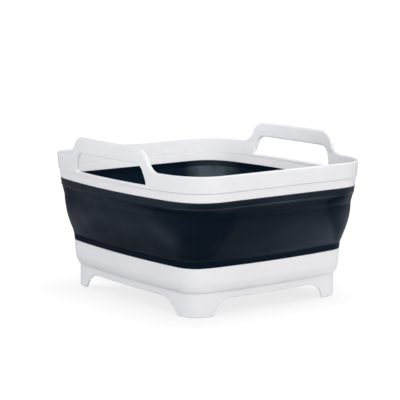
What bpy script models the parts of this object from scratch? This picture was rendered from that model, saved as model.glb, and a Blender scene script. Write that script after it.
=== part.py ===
"""Collapsible camp washbasin.

A white base tray on four corner feet and a white rim with two carrying handles are joined by a
folding rubber wall. The rim comes straight down round the base as the wall folds over itself, and
a rubber plug closes the drain in the tray's floor. Metres, +Z up. The origin is on the floor under
the middle of the basin, Y is the long way, and the handles stand on the +X and -X sides.
"""

import bpy
import bmesh
from math import asin, atan2, cos, pi, sin, sqrt
from typing import NamedTuple

mm = 0.001

# Rim: the plan size over its top edge, and the heights of its two bands
rim_length = 320.0 * mm
rim_width = 279.2 * mm
rim_corner_radius = 50.6 * mm
rim_side_bow = 8.0 * mm
rim_thickness = 4.0 * mm
rim_lean = 2.8 * mm
rim_step = 1.0 * mm
rim_band_height = 19.9 * mm
rim_collar_height = 10.8 * mm
rim_edge_round = 0.9 * mm
rim_shoulder_height = 14.0 * mm

# Carrying handles, one on each X side
handle_height = 27.1 * mm
handle_shoulder_radius = 24.0 * mm
handle_foot_radius = 20.0 * mm
handle_end_margin = 11.5 * mm
handle_thickness = 5.5 * mm
handle_bar_height = 19.5 * mm
handle_leg_width = 10.0 * mm
hole_sill_height = 3.0 * mm
hole_top_radius = 14.0 * mm
hole_foot_radius = 3.0 * mm
hole_foot_flare = 3.5 * mm

# Base tray: the plan size over its top edge, then what stands below that edge
base_length = 269.8 * mm
base_width = 241.8 * mm
base_corner_radius = 29.7 * mm
base_bow = 5.1 * mm
base_band_height = 30.1 * mm
base_band_draft = 1.8 * mm
base_round_height = 12.0 * mm
base_round_depth = 3.9 * mm
skirt_inset = 7.0 * mm
skirt_thickness = 3.0 * mm
skirt_lip_height = 9.5 * mm
arch_height = 20.0 * mm
side_arch_run = 27.0 * mm
end_arch_run = 24.0 * mm
foot_straight = 8.6 * mm
foot_edge_round = 1.2 * mm
floor_thickness = 3.0 * mm
floor_rise = 1.0 * mm
floor_fillet = 8.0 * mm
tray_draft = 1.6 * mm

# How full a rounded edge is: 2 is an ellipse, less is closer to a bevel
side_arch_fullness = 1.5
end_arch_fullness = 2.0
base_round_fullness = 1.5

# Rubber wall: an upright foot, the zone that folds, with a waist in it, and the head at the rim
wall_foot_height = 8.6 * mm
wall_fold_height = 62.3 * mm
wall_waist_height = 48.8 * mm
wall_head_height = 8.7 * mm
wall_thickness = 2.2 * mm

# How far the wall has spread from the base's outline to the rim's, and how full its panel is
foot_spread_share = 0.05
waist_spread_share = 0.745
fold_spread_share = 0.92
panel_fullness = 1.8

# Tongues that key each band into its neighbour, and the gap left between touching pieces
tongue_thickness = 1.0 * mm
tongue_height = 5.0 * mm
wall_tongue_height = 3.6 * mm
tongue_inset = 1.5 * mm
groove_roof = 1.2 * mm
seam_gap = 0.3 * mm

# Drain in the middle of the floor, and its plug
drain_radius = 16.0 * mm
seat_radius = 20.6 * mm
seat_depth = 2.5 * mm
boss_radius = 25.0 * mm
boss_depth = 4.0 * mm
plug_flange_thickness = 2.2 * mm
plug_stem_chamfer = 1.0 * mm
plug_hollow_radius = 11.0 * mm
plug_hollow_depth = 2.4 * mm
plug_lift = 0.5 * mm
tab_length = 24.0 * mm
tab_height = 8.0 * mm
tab_thickness = 4.0 * mm
tab_root = 1.0 * mm

# Faceting
corner_steps = 6
side_steps = 8
arch_steps = 4
handle_steps = 4
panel_steps = 5
waist_steps = 2
round_steps = 4
fillet_steps = 3
plug_steps = 48
hole_steps = 5
tab_steps = 10
smooth_angle = pi / 6

# Heights above the floor, stacked from the sizes above
skirt_top = arch_height + skirt_lip_height
floor_bottom = skirt_top - floor_rise
floor_top = floor_bottom + floor_thickness
base_top = skirt_top + base_band_height
fold_bottom = base_top + wall_foot_height
waist = fold_bottom + wall_waist_height
fold_top = fold_bottom + wall_fold_height
collar_bottom = fold_top + wall_head_height
seam_height = collar_bottom + rim_collar_height
rim_top = seam_height + rim_band_height
handle_top = rim_top + handle_height


class Outline(NamedTuple):
    """A rounded rectangle whose sides bow outwards."""
    half_x: float
    half_y: float
    corner: float
    bow_x: float
    bow_y: float


class Station(NamedTuple):
    """A place round every outline: a share along one face, or an angle on the corner that ends it."""
    face: int
    share: float
    angle: float


def grown(outline, distance):
    """The outline moved outwards by a distance, or inwards by a negative one."""
    return outline._replace(half_x=outline.half_x + distance, half_y=outline.half_y + distance,
                            corner=outline.corner + distance)


def mixed(start, end, share):
    """The outline a share of the way from one outline to another."""
    return Outline(*[a + (b - a) * share for a, b in zip(start, end)])


rim_outline = Outline(rim_width / 2, rim_length / 2, rim_corner_radius, rim_side_bow, 0)
collar_foot = grown(rim_outline, -(rim_lean + rim_step))
base_outline = Outline(base_width / 2, base_length / 2, base_corner_radius, base_bow, base_bow)
skirt_outline = grown(base_outline, -skirt_inset)

side_run = rim_outline.half_y - rim_outline.corner
skirt_side_run = skirt_outline.half_y - skirt_outline.corner
skirt_end_run = skirt_outline.half_x - skirt_outline.corner


def rounded_off(share, fullness):
    """How much of a rounded edge's height is left at a share of the way across it."""
    return (1 - share ** fullness) ** (1 / fullness)


def collar_outline(height):
    """The outer face of the rim's lower band, which leans out as it rises."""
    share = (height - collar_bottom) / (rim_top - collar_bottom)
    return grown(collar_foot, rim_lean * share)


def frame_outline(height):
    """The outer face of the rim's upper band, one step proud of the lower band."""
    return grown(collar_outline(height), rim_step)


def wall_outline(height):
    """The outer face of the rubber wall, which spreads from the base's outline to the rim's."""
    if height < fold_bottom:
        share = foot_spread_share * (height - base_top) / wall_foot_height
    elif height < waist:
        left = 1 - (height - fold_bottom) / wall_waist_height
        share = foot_spread_share + (waist_spread_share - foot_spread_share) * (1 - left ** panel_fullness)
    elif height < fold_top:
        risen = (height - waist) / (fold_top - waist)
        share = waist_spread_share + (fold_spread_share - waist_spread_share) * risen
    else:
        risen = min((height - fold_top) / wall_head_height, 1)
        share = fold_spread_share + (1 - fold_spread_share) * risen
    return mixed(base_outline, collar_foot, share)


def wall_inside(height):
    """The inner face of the wall, one rubber thickness in, measured square to its slope."""
    step = seam_gap
    spread = (wall_outline(height + step).half_x - wall_outline(height - step).half_x) / (2 * step)
    return grown(wall_outline(height), -wall_thickness * sqrt(1 + spread ** 2))


def mirrored(shares):
    """Shares from the middle of a face outwards, repeated on its other half."""
    return [-share for share in reversed(shares) if share > 0] + shares


def stations(side_shares, end_shares):
    """Every place round an outline: four faces with their shares, and the corner after each."""
    places = []
    for face in range(4):
        for share in (side_shares, end_shares)[face % 2]:
            places.append(Station(face, share, 0))
        for step in range(1, corner_steps):
            places.append(Station(face, 1, pi / 2 * step / corner_steps))
    return places


def place(outline, station):
    """The point of an outline at a station."""
    on_side = station.face % 2 == 0
    depth, breadth = (outline.half_x, outline.half_y) if on_side else (outline.half_y, outline.half_x)
    bow = outline.bow_x if on_side else outline.bow_y
    run = breadth - outline.corner
    out = depth + bow * (1 - station.share ** 2) - outline.corner * (1 - cos(station.angle))
    along = run * station.share + outline.corner * sin(station.angle)
    return ((out, along), (-along, out), (-out, -along), (along, -out))[station.face]


def arch_bottom(station):
    """The lower edge of the skirt: an arch between the feet on every face, the floor at the feet."""
    on_side = station.face % 2 == 0
    run = skirt_side_run if on_side else skirt_end_run
    arch_run = side_arch_run if on_side else end_arch_run
    fullness = side_arch_fullness if on_side else end_arch_fullness
    past_flat = abs(station.share) * run - (run - foot_straight - arch_run)
    share = min(max(past_flat / arch_run, 0), 1)
    return arch_height * rounded_off(share, fullness)


def arch_shares(run, arch_run, fullness):
    """Shares of a face at which the arch's edge is drawn, from the middle to the corner."""
    flat = run - foot_straight - arch_run
    lengths = [0, flat / 2]
    for step in range(arch_steps + 1):
        lengths.append(flat + arch_run * sin(pi / 2 * step / arch_steps) ** (2 / fullness))
    return [length / run for length in lengths] + [1]


# A handle's outline: a convex shoulder arc meets a concave foot arc, tangent to each other
handle_arcs_rise = handle_shoulder_radius + handle_foot_radius - handle_height
handle_arcs_run = sqrt((handle_shoulder_radius + handle_foot_radius) ** 2 - handle_arcs_rise ** 2)
handle_meet_angle = asin(handle_arcs_run / (handle_shoulder_radius + handle_foot_radius))
handle_flat_half = side_run - handle_end_margin - handle_arcs_run
hole_half = handle_flat_half + handle_shoulder_radius - handle_leg_width


def handle_rise(station):
    """How far the rim's top edge stands above its plain level at a station."""
    past_flat = abs(station.share) * side_run - handle_flat_half
    if station.face % 2 or past_flat >= handle_arcs_run:
        return 0
    if past_flat <= 0:
        return handle_height
    if past_flat < handle_shoulder_radius * sin(handle_meet_angle):
        return handle_height - handle_shoulder_radius + sqrt(handle_shoulder_radius ** 2 - past_flat ** 2)
    left = handle_arcs_run - past_flat
    return handle_foot_radius - sqrt(handle_foot_radius ** 2 - left ** 2)


def handle_shares():
    """Shares of a side at which the handle's edge is drawn, from the middle to the corner."""
    lengths = [0, handle_flat_half / 2]
    for step in range(handle_steps + 1):
        angle = handle_meet_angle * step / handle_steps
        lengths.append(handle_flat_half + handle_shoulder_radius * sin(angle))
    for step in range(handle_steps - 1, -1, -1):
        angle = handle_meet_angle * step / handle_steps
        lengths.append(handle_flat_half + handle_arcs_run - handle_foot_radius * sin(angle))
    return [length / side_run for length in lengths] + [1]


def frame_thickness(station):
    """The rim's thickness, which grows into the handles between their feet and their shoulders."""
    if station.face % 2:
        return rim_thickness
    from_end = side_run - handle_end_margin - abs(station.share) * side_run
    share = min(max(from_end / (handle_arcs_run - handle_shoulder_radius), 0), 1)
    return rim_thickness + (handle_thickness - rim_thickness) * share ** 2 * (3 - 2 * share)


even_shares = [2 * step / side_steps - 1 for step in range(side_steps + 1)]
even_stations = stations(even_shares, even_shares)
frame_stations = stations(mirrored(handle_shares()), even_shares)
tray_stations = stations(mirrored(arch_shares(skirt_side_run, side_arch_run, side_arch_fullness)),
                         mirrored(arch_shares(skirt_end_run, end_arch_run, end_arch_fullness)))


def clear_scene():
    for item in list(bpy.data.objects):
        bpy.data.objects.remove(item)


def new_collection(name):
    collection = bpy.data.collections.new(name)
    bpy.context.scene.collection.children.link(collection)
    return collection


def new_material(name, colour, roughness):
    material = bpy.data.materials.new(name)
    material.use_nodes = True
    shader = material.node_tree.nodes["Principled BSDF"]
    shader.inputs["Base Color"].default_value = (*colour, 1)
    shader.inputs["Roughness"].default_value = roughness
    shader.inputs["Metallic"].default_value = 0
    return material


def new_object(name, mesh, material, collection):
    piece = bpy.data.objects.new(name, mesh)
    mesh.materials.append(material)
    collection.objects.link(piece)
    return piece


def loft(name, places, levels, material, collection):
    """A closed band: a section of levels swept round the stations and shut on itself.

    A level is an outline, or a function of a station that gives one or a point, with a height or a
    function that gives one.
    """
    form = bmesh.new()
    rings = []
    for outline, height in levels:
        ring = []
        for station in places:
            spot = outline(station) if callable(outline) else outline
            x, y = place(spot, station) if isinstance(spot, Outline) else spot
            z = height(station) if callable(height) else height
            ring.append(form.verts.new((x, y, z)))
        rings.append(ring)
    for low, high in zip(rings, rings[1:] + rings[:1]):
        for at in range(len(places)):
            form.faces.new((low[at - 1], low[at], high[at], high[at - 1]))
    bmesh.ops.recalc_face_normals(form, faces=form.faces[:])
    mesh = bpy.data.meshes.new(name)
    form.to_mesh(mesh)
    form.free()
    mesh.shade_smooth()
    mesh.set_sharp_from_angle(angle=smooth_angle)
    return new_object(name, mesh, material, collection)


def prism(name, points, thickness, material, collection):
    """A flat outline given some thickness, as a mesh that can cut or be joined."""
    outline = bpy.data.curves.new(name, "CURVE")
    outline.dimensions = "2D"
    outline.fill_mode = "BOTH"
    outline.extrude = thickness / 2
    line = outline.splines.new("POLY")
    line.points.add(len(points) - 1)
    for point, (x, y) in zip(line.points, points):
        point.co = (x, y, 0, 1)
    line.use_cyclic_u = True
    guide = bpy.data.objects.new(name, outline)
    collection.objects.link(guide)
    bpy.context.view_layer.update()
    mesh = bpy.data.meshes.new_from_object(guide.evaluated_get(bpy.context.evaluated_depsgraph_get()))
    bpy.data.objects.remove(guide)
    form = bmesh.new()
    form.from_mesh(mesh)
    bmesh.ops.remove_doubles(form, verts=form.verts[:], dist=weld_distance)
    bmesh.ops.recalc_face_normals(form, faces=form.faces[:])
    form.to_mesh(mesh)
    form.free()
    return new_object(name, mesh, material, collection)


def combine(piece, tool, operation):
    """Cut a piece with a tool, or join the tool to it, and hide the tool."""
    boolean = piece.modifiers.new(tool.name, "BOOLEAN")
    boolean.object = tool
    boolean.operation = operation
    boolean.solver = "EXACT"
    tool.hide_render = True
    tool.display_type = "WIRE"


def arc(centre, radius, start, end, steps):
    """Points along an arc, ends included."""
    turns = [start + (end - start) * step / steps for step in range(steps + 1)]
    return [(centre[0] + radius * cos(turn), centre[1] + radius * sin(turn)) for turn in turns]


weld_distance = seam_gap / 100
half_gap = seam_gap / 2
tongue_back = tongue_inset + tongue_thickness


def tongue(face, root, tip):
    """Levels of a tongue from its root to its tip and back, under the outer face it follows."""
    return [(grown(face(root), -tongue_inset), root), (grown(face(tip), -tongue_inset), tip),
            (grown(face(tip), -tongue_back), tip), (grown(face(root), -tongue_back), root)]


def groove(face, mouth, end):
    """Levels of the groove that takes a tongue, with the seam gap all round it."""
    near, far = tongue_inset - seam_gap, tongue_back + seam_gap
    return [(grown(face(mouth), -near), mouth), (grown(face(end), -near), end),
            (grown(face(end), -far), end), (grown(face(mouth), -far), mouth)]


def make_rim_frame(material, parts, cutters):
    """The rim's upper band with both handles standing on it, and the tongue under it."""
    bottom = seam_height + half_gap
    shoulder = seam_height + rim_shoulder_height

    def edge(station):
        return rim_top + handle_rise(station)

    def below_edge(station):
        return edge(station) - rim_edge_round

    def inner(height, inset):
        return lambda station: grown(frame_outline(height), inset - frame_thickness(station))

    levels = [(frame_outline(bottom), bottom),
              (frame_outline(shoulder), shoulder),
              (frame_outline(rim_top), below_edge),
              (grown(frame_outline(rim_top), -rim_edge_round), edge),
              (inner(rim_top, rim_edge_round), edge),
              (inner(rim_top, 0), below_edge),
              (inner(shoulder, 0), shoulder),
              (inner(bottom, 0), bottom)]
    levels += reversed(tongue(collar_outline, bottom, seam_height - tongue_height))
    frame = loft("rim_frame", frame_stations, levels, material, parts)

    sill = seam_height + hole_sill_height
    head = handle_top - handle_bar_height
    top_y, top_z = hole_half - hole_top_radius, head - hole_top_radius
    foot_y, foot_z = hole_half + hole_foot_flare - hole_foot_radius, sill + hole_foot_radius
    hole = (arc((top_y, top_z), hole_top_radius, 0, pi / 2, hole_steps)
            + arc((-top_y, top_z), hole_top_radius, pi / 2, pi, hole_steps)
            + arc((-foot_y, foot_z), hole_foot_radius, pi, pi * 3 / 2, hole_steps)
            + arc((foot_y, foot_z), hole_foot_radius, pi * 3 / 2, pi * 2, hole_steps))
    cutter = prism("handle_hole_cutter", hole, rim_width * 2, material, cutters)
    cutter.rotation_euler = (pi / 2, 0, pi / 2)
    combine(frame, cutter, "DIFFERENCE")


def make_rim_collar(material, parts):
    """The rim's lower band: it takes the frame's tongue above and keys into the rubber below."""
    top, bottom = seam_height - half_gap, collar_bottom + half_gap
    levels = [(collar_outline(top), top)]
    levels += groove(collar_outline, top, seam_height - tongue_height - seam_gap)
    levels += [(grown(collar_outline(top), -rim_thickness), top),
               (grown(collar_outline(bottom), -rim_thickness), bottom)]
    levels += reversed(tongue(wall_outline, bottom, collar_bottom - wall_tongue_height))
    levels += [(collar_outline(bottom), bottom)]
    loft("rim_collar", even_stations, levels, material, parts)


def make_upper_wall_band(material, parts):
    """The head of the rubber wall, which hangs on the rim collar and moves with it."""
    top, bottom = collar_bottom - half_gap, fold_top + half_gap
    groove_end = collar_bottom - wall_tongue_height - seam_gap
    lip_end = groove_end - groove_roof
    taper_end = lip_end - groove_roof * 2
    levels = [(wall_outline(top), top)]
    levels += groove(wall_outline, top, groove_end)
    levels += [(grown(wall_outline(top), -rim_thickness), top),
               (grown(wall_outline(lip_end), -rim_thickness), lip_end),
               (wall_inside(taper_end), taper_end),
               (wall_inside(bottom + seam_gap), bottom),
               (wall_outline(bottom), bottom)]
    loft("upper_wall_band", even_stations, levels, material, parts)


def make_fold_panel(material, parts):
    """The zone of the rubber wall that turns inside out as the rim comes down, with its waist."""
    bottom, top = fold_bottom + half_gap, fold_top - half_gap
    heights = [bottom + (waist - bottom) * step / panel_steps for step in range(panel_steps)]
    heights += [waist + (top - waist) * step / waist_steps for step in range(waist_steps + 1)]
    levels = [(wall_outline(height), height) for height in heights]
    inside = [bottom + seam_gap] + heights[1:-1] + [top - seam_gap]
    levels += [(wall_inside(seen), height) for seen, height in reversed(list(zip(inside, heights)))]
    loft("fold_panel", even_stations, levels, material, parts)


def make_lower_wall_collar(material, parts):
    """The upright foot of the rubber wall, keyed onto the base tray's tongue."""
    bottom, top = base_top + half_gap, fold_bottom - half_gap
    groove_end = base_top + wall_tongue_height + seam_gap
    lip_end = groove_end + groove_roof
    levels = [(wall_outline(bottom), bottom),
              (wall_outline(top), top),
              (grown(wall_outline(top), -wall_thickness), top),
              (grown(wall_outline(lip_end), -rim_thickness), lip_end),
              (grown(wall_outline(bottom), -rim_thickness), bottom)]
    levels += reversed(groove(wall_outline, bottom, groove_end))
    loft("lower_wall_collar", even_stations, levels, material, parts)


def make_base_tray(material, parts):
    """The tray with its drain, the step below its band, and the skirt that ends in four feet."""
    top = base_top - half_gap
    bowl_foot = grown(base_outline, -(rim_thickness + tray_draft))
    floor_edge = grown(bowl_foot, -floor_fillet)
    skirt_inside = grown(skirt_outline, -skirt_thickness)

    def circle(radius):
        def point(station):
            x, y = place(floor_edge, station)
            return radius * cos(atan2(y, x)), radius * sin(atan2(y, x))
        return point

    def above_foot(station):
        return arch_bottom(station) + foot_edge_round

    levels = tongue(wall_outline, top, base_top + wall_tongue_height)
    levels += [(grown(base_outline, -rim_thickness), top)]
    for step in range(fillet_steps + 1):
        turn = pi / 2 * step / fillet_steps
        levels.append((grown(bowl_foot, -floor_fillet * (1 - cos(turn))),
                       floor_top + floor_fillet * (1 - sin(turn))))
    seat_level = floor_top - seat_depth
    boss_bottom = floor_bottom - boss_depth
    levels += [(circle(seat_radius), floor_top),
               (circle(seat_radius), seat_level),
               (circle(drain_radius), seat_level),
               (circle(drain_radius), boss_bottom),
               (circle(boss_radius), boss_bottom),
               (circle(boss_radius), floor_bottom),
               (skirt_inside, floor_bottom),
               (skirt_inside, arch_bottom),
               (grown(skirt_outline, -foot_edge_round), arch_bottom),
               (skirt_outline, above_foot),
               (skirt_outline, skirt_top)]
    for step in range(round_steps + 1):
        share = 1 - step / round_steps
        height = base_round_height * (1 - share)
        draft = base_band_draft * (1 - height / base_band_height)
        rounding = base_round_depth * (1 - rounded_off(share, base_round_fullness))
        levels.append((grown(base_outline, -draft - rounding), skirt_top + height))
    levels.append((base_outline, top))
    loft("base_tray", tray_stations, levels, material, parts)


def make_drain_plug(material, parts, cutters):
    """The rubber plug: a flange in the floor's seat, a stem in the drain, and a tab to pull."""
    flange_bottom = floor_top - seat_depth + seam_gap
    flange_top = flange_bottom + plug_flange_thickness
    stem_radius = drain_radius - seam_gap
    stem_bottom = floor_bottom - boss_depth + plug_lift
    profile = [(0, flange_top),
               (seat_radius - seam_gap * 2, flange_top),
               (seat_radius - seam_gap * 2, flange_bottom),
               (stem_radius, flange_bottom),
               (stem_radius, stem_bottom + plug_stem_chamfer),
               (stem_radius - plug_stem_chamfer, stem_bottom),
               (plug_hollow_radius, stem_bottom),
               (plug_hollow_radius, stem_bottom + plug_hollow_depth),
               (0, stem_bottom + plug_hollow_depth)]
    mesh = bpy.data.meshes.new("drain_plug")
    mesh.from_pydata([(x, 0, z) for x, z in profile],
                     [(at, at + 1) for at in range(len(profile) - 1)], [])
    plug = new_object("drain_plug", mesh, material, parts)
    turning = plug.modifiers.new("turned", "SCREW")
    turning.steps = plug_steps
    turning.render_steps = plug_steps
    turning.use_merge_vertices = True
    turning.merge_threshold = weld_distance
    turning.use_normal_calculate = True

    corner = tab_height / 2
    tab_top = arc((tab_length / 2 - corner, tab_height - corner), corner, 0, pi / 2, tab_steps // 2)
    tab_top += [(-x, y) for x, y in reversed(tab_top)]
    tab = prism("plug_tab", [(tab_length / 2, -tab_root)] + tab_top + [(-tab_length / 2, -tab_root)],
                tab_thickness, material, cutters)
    tab.rotation_euler = (pi / 2, 0, 0)
    tab.location = (0, 0, flange_top)
    combine(plug, tab, "UNION")


def main():
    clear_scene()
    parts = new_collection("camp_washbasin")
    cutters = new_collection("cutters")
    white = new_material("white_plastic", (0.83, 0.84, 0.86), 0.38)
    rubber = new_material("dark_rubber", (0.016, 0.023, 0.032), 0.52)
    make_base_tray(white, parts)
    make_lower_wall_collar(rubber, parts)
    make_fold_panel(rubber, parts)
    make_upper_wall_band(rubber, parts)
    make_rim_collar(white, parts)
    make_rim_frame(white, parts, cutters)
    make_drain_plug(rubber, parts, cutters)


main()
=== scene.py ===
"""Looks of a collapsible camp washbasin.

The rigid pieces are moulded white plastic; the folding wall and the drain plug are dark rubber.
Every piece is drawn round the same outlines as the solid model, in metres, with finer edges.
Z is up, Y is the long way, and the handles stand on the +X and -X sides.
"""

from math import acos, atan2, cos, pi, radians, sin, sqrt

import bmesh
import bpy
import numpy as np
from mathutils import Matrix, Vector


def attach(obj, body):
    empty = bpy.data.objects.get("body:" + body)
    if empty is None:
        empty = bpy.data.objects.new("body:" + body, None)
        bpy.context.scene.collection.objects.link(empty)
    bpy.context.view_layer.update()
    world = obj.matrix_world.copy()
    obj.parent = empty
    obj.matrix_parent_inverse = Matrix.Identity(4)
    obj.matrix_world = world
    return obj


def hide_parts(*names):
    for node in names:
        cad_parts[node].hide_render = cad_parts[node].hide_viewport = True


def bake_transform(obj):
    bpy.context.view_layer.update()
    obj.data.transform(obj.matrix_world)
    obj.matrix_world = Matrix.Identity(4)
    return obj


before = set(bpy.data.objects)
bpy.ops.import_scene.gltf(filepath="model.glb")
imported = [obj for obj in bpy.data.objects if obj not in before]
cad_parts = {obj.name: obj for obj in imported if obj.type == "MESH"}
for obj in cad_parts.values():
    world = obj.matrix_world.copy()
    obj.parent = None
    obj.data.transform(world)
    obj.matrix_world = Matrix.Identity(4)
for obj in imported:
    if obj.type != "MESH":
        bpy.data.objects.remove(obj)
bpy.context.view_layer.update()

mm = 0.001

# Outlines seen from above: half width, half length, corner, and how far the sides and ends bow out
rim_outline = np.array((139.6, 160.0, 50.6, 8.0, 0.0)) * mm
base_outline = np.array((120.9, 134.9, 29.7, 5.1, 5.1)) * mm

# Heights above the floor
arch_height = 20.0 * mm
floor_bottom = 28.5 * mm
skirt_top = 29.5 * mm
floor_top = 31.5 * mm
base_top = 59.6 * mm
fold_bottom = 68.2 * mm
waist = 117.0 * mm
fold_top = 130.5 * mm
collar_bottom = 139.2 * mm
seam_height = 150.0 * mm
rim_top = 169.9 * mm
handle_top = 197.0 * mm

# Rim and handles
rim_thickness = 4.0 * mm
rim_lean = 2.8 * mm
rim_step = 1.0 * mm
rim_edge_round = 1.7 * mm
collar_edge_round = 0.4 * mm
half_seam = 0.1 * mm
handle_thickness = 5.5 * mm
handle_edge_round = 2.6 * mm
shoulder_radius = 24.0 * mm
foot_radius = 20.0 * mm
handle_end_margin = 11.5 * mm
handle_leg_width = 10.0 * mm
handle_bar_height = 19.5 * mm
hole_sill = seam_height + 3.0 * mm
hole_top_radius = 14.0 * mm
hole_foot_radius = 3.0 * mm
hole_foot_flare = 3.5 * mm
hole_edge_round = 2.2 * mm
sill_edge_round = 0.9 * mm
hole_round_rise = 10.0 * mm

# Base tray
wall_of_tray = 4.0 * mm
tray_draft = 1.6 * mm
tray_edge_round = 0.4 * mm
band_draft = 1.8 * mm
band_round_height = 12.0 * mm
band_round_depth = 3.9 * mm
band_round_fullness = 1.5    # 2 rounds it as an ellipse, less is closer to a bevel
band_upright = 8.0 * mm
cove_start = 3.0 * mm
cove = ((0, 0.6), (0.08, 0.3), (0.3, 0.08), (0.6, 0))    # under the band: how far out and down, in mm
skirt_inset = 7.0 * mm
skirt_thickness = 3.0 * mm
skirt_fillet = 0.8 * mm
foot_edge_round = 1.4 * mm
foot_corner = 2.6 * mm
foot_corner_top = foot_corner * 1.3    # where the arch's curve gives way to the foot's rounded corner
foot_straight = 8.6 * mm
arch_forms = ((27.0 * mm, 1.5), (24.0 * mm, 2.0))    # sides, then ends: an arch's run and its fullness
floor_fillet = 8.0 * mm
drain_radius = 16.0 * mm
drain_bevel = 0.4 * mm
seat_radius = 20.6 * mm
seat_depth = 2.5 * mm
seat_lip = 0.6 * mm
boss_radius = 25.0 * mm
boss_depth = 4.0 * mm

# Drain plug and its pull tab
plug_top = floor_top - 0.25 * mm
plug_crown = ((6, 0), (12, 0), (15.6, 0), (16.1, 0.08), (16.5, 0.25), (18.6, 0.25), (19.4, 0.1),
              (19.85, -0.25), (20, -0.7))    # with its raised ring: radius and rise, in mm
flange_radius = 20.0 * mm
flange_bevel = 0.3 * mm
flange_gap = 0.1 * mm
stem_radius = drain_radius - 0.3 * mm
stem_fillet = 0.4 * mm
stem_rise = 0.5 * mm
stem_chamfer = 1.2 * mm
stem_belly = 0.35 * mm
hollow_radius = 11.0 * mm
hollow_depth = 2.4 * mm
hollow_bevel = 0.5 * mm
pinpoint = 0.001 * mm
tab_half, tab_height, tab_thickness = 12 * mm, 8 * mm, 4 * mm
tab_sink = 0.6 * mm
tab_edge_round = 1.1 * mm
sharp_angle = 0.8    # radians: the tab's edges that bend more than this are rounded

# Rubber wall: its profile from the base's outline to the rim's, then its relief
rubber_thickness = 2.2 * mm
foot_share = 0.05
waist_share = 0.745
ridge_share = 0.92
panel_fullness = 1.8
crease_softness = 0.8 * mm
crease_blend = ((-1, 0.25), (0, 0.5), (1, 0.25))    # below, at and above a height, and how much of each
crease_bead = (fold_bottom, 0.9 * mm, 0.30 * mm)    # its middle, half width and rise
ridge_bead = (fold_top, 1.2 * mm, 0.5 * mm)
bead_fullness = 1.5
wall_edge_round = 0.3 * mm
lip_below_collar, taper_below_collar = 5.1 * mm, 7.5 * mm
corner_rib_rise, corner_rib_width = 0.3 * mm, 0.05
wave_rise = 0.22 * mm
slack_waves = ((5, 70, 1.0, 1.0), (9, -115, 2.4, 0.7), (16, 150, 0.6, 0.4))    # turns, climb, start, part
slack_fade, slack_past_ridge = 8 * mm, 2 * mm

# The folded wedges at the wall's corners: how far they reach along its sides and ends, how that grows
# from foot to top, how softly they end there, and how deep they lie. The rubber is painted darker in them.
wedge_foot, wedge_side, wedge_end = 26.0 * mm, 100.0 * mm, 74.0 * mm
wedge_side_curve, wedge_end_curve = 2, 0.8
wedge_foot_fade, wedge_side_fade, wedge_end_fade = 6 * mm, 56 * mm, 16 * mm
wedge_depth = 0.5 * mm

# Painted shade on the rubber, where 0 is the plain panel and more is darker, and how softly each zone begins
head_dark, head_start, head_fade = 0.35, waist - 4 * mm, 6 * mm
panel_foot_fade, panel_top_fade = 4 * mm, 3 * mm
foot_dark, foot_end, foot_fade = 1.3, fold_bottom + 0.4 * mm, 1.2 * mm
# Below 0 is painted sheen: above the ridge, and round the inner corners
above_ridge_light, above_ridge_fade = 0.6, 2 * mm
inside_dark, inside_corner_sheen = 1.4, 2.0
sheen_corner_reach, sheen_corner_fade = 58.0 * mm, 20 * mm

# Spots of painted shade (more than 0) and painted highlight (less than 0) on the rubber: the middle X, Y
# and Z in mm, the half length and half height, how far it slants upwards in degrees, and how much
painted_light_spots = (
    (-128, -98, 94, 30, 9, 24, -1.5),
    (-143, 0, 130, 75, 2, 0, 0.7),
    (-130, 45, 85, 55, 10, -10, 1.0),
    (-141, -80, 127, 34, 3.5, 0, 0.9),
    (-66, -142, 78, 36, 10, -10, -1.2),
    (-8, -141, 69, 46, 2.5, 0, -1.2),
    (6, -155, 134, 30, 4.5, 0, -1.0),
    (-50, -151, 119, 55, 7, 0, 0.5),
    (-88, -154, 129, 15, 3, 0, -1.3),
    (103, -148, 112, 18, 14, 0, -1.2),
    (92, -155, 131, 15, 6, 0, 1.1),
    (65, -153, 124, 20, 4, 0, 0.8),
    (-52, -155, 132, 12, 4, 0, 0.6),
)
spot_depth = 40    # mm, so that a spot stays on its own face

# How many steps the pieces are drawn in
wall_side_steps, wall_end_steps, wall_corner_steps = 40, 36, 28
wall_rings, wall_ring_margin, crease_rings, crease_ring_gap = 42, 0.5 * mm, 6, 0.3 * mm
closest_rings = 0.12 * mm
collar_side_steps, collar_end_steps, collar_corner_steps, collar_rings = 32, 24, 18, 4
arc_steps, flat_steps = 11, 52
sill_steps, sill_end_steps, leg_steps = 60, 4, 6
hole_foot_steps, hole_end_steps = 5, 5
strip_steps, rim_end_steps = 3, 28
round_steps, ring_steps, corner_steps = 5, 5, 20
fine_round_steps = 3
arch_steps, arch_flat_steps, foot_corner_steps, foot_flat_steps = 18, 8, 6, 3
foot_round_steps, band_steps, fillet_steps = 4, 12, 8
floor_parts = (0.3, 0.6, 0.85, 1)
plug_steps, tab_round_steps, tab_bevel_steps = 96, 8, 4

corner_part = 0.5523    # the handle length of a curve that stands for a quarter circle
shortest_edge = 1e-7
wear_gain = 6           # how soon a bend counts as an edge or a hollow

collar_foot = rim_outline - np.array((1, 1, 1, 0, 0)) * (rim_lean + rim_step)
skirt_outline = base_outline - np.array((1, 1, 1, 0, 0)) * skirt_inset
side_run = rim_outline[1] - rim_outline[2]

# A handle's outline: a shoulder arc meets a foot arc, tangent to each other
handle_height = handle_top - rim_top
arcs_rise = shoulder_radius + foot_radius - handle_height
arcs_run = sqrt((shoulder_radius + foot_radius) ** 2 - arcs_rise ** 2)
meet_angle = atan2(arcs_run, arcs_rise)
handle_foot = side_run - handle_end_margin
handle_flat = handle_foot - arcs_run
hole_half = handle_flat + shoulder_radius - handle_leg_width


def grown(size, distance):
    """An outline moved outwards by a distance, which may differ from place to place."""
    return [size[0] + distance, size[1] + distance, size[2] + distance, size[3], size[4]]


def between(start, end, share):
    """A share of the way from one outline to another."""
    return [a + (b - a) * share for a, b in zip(start, end)]


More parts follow.
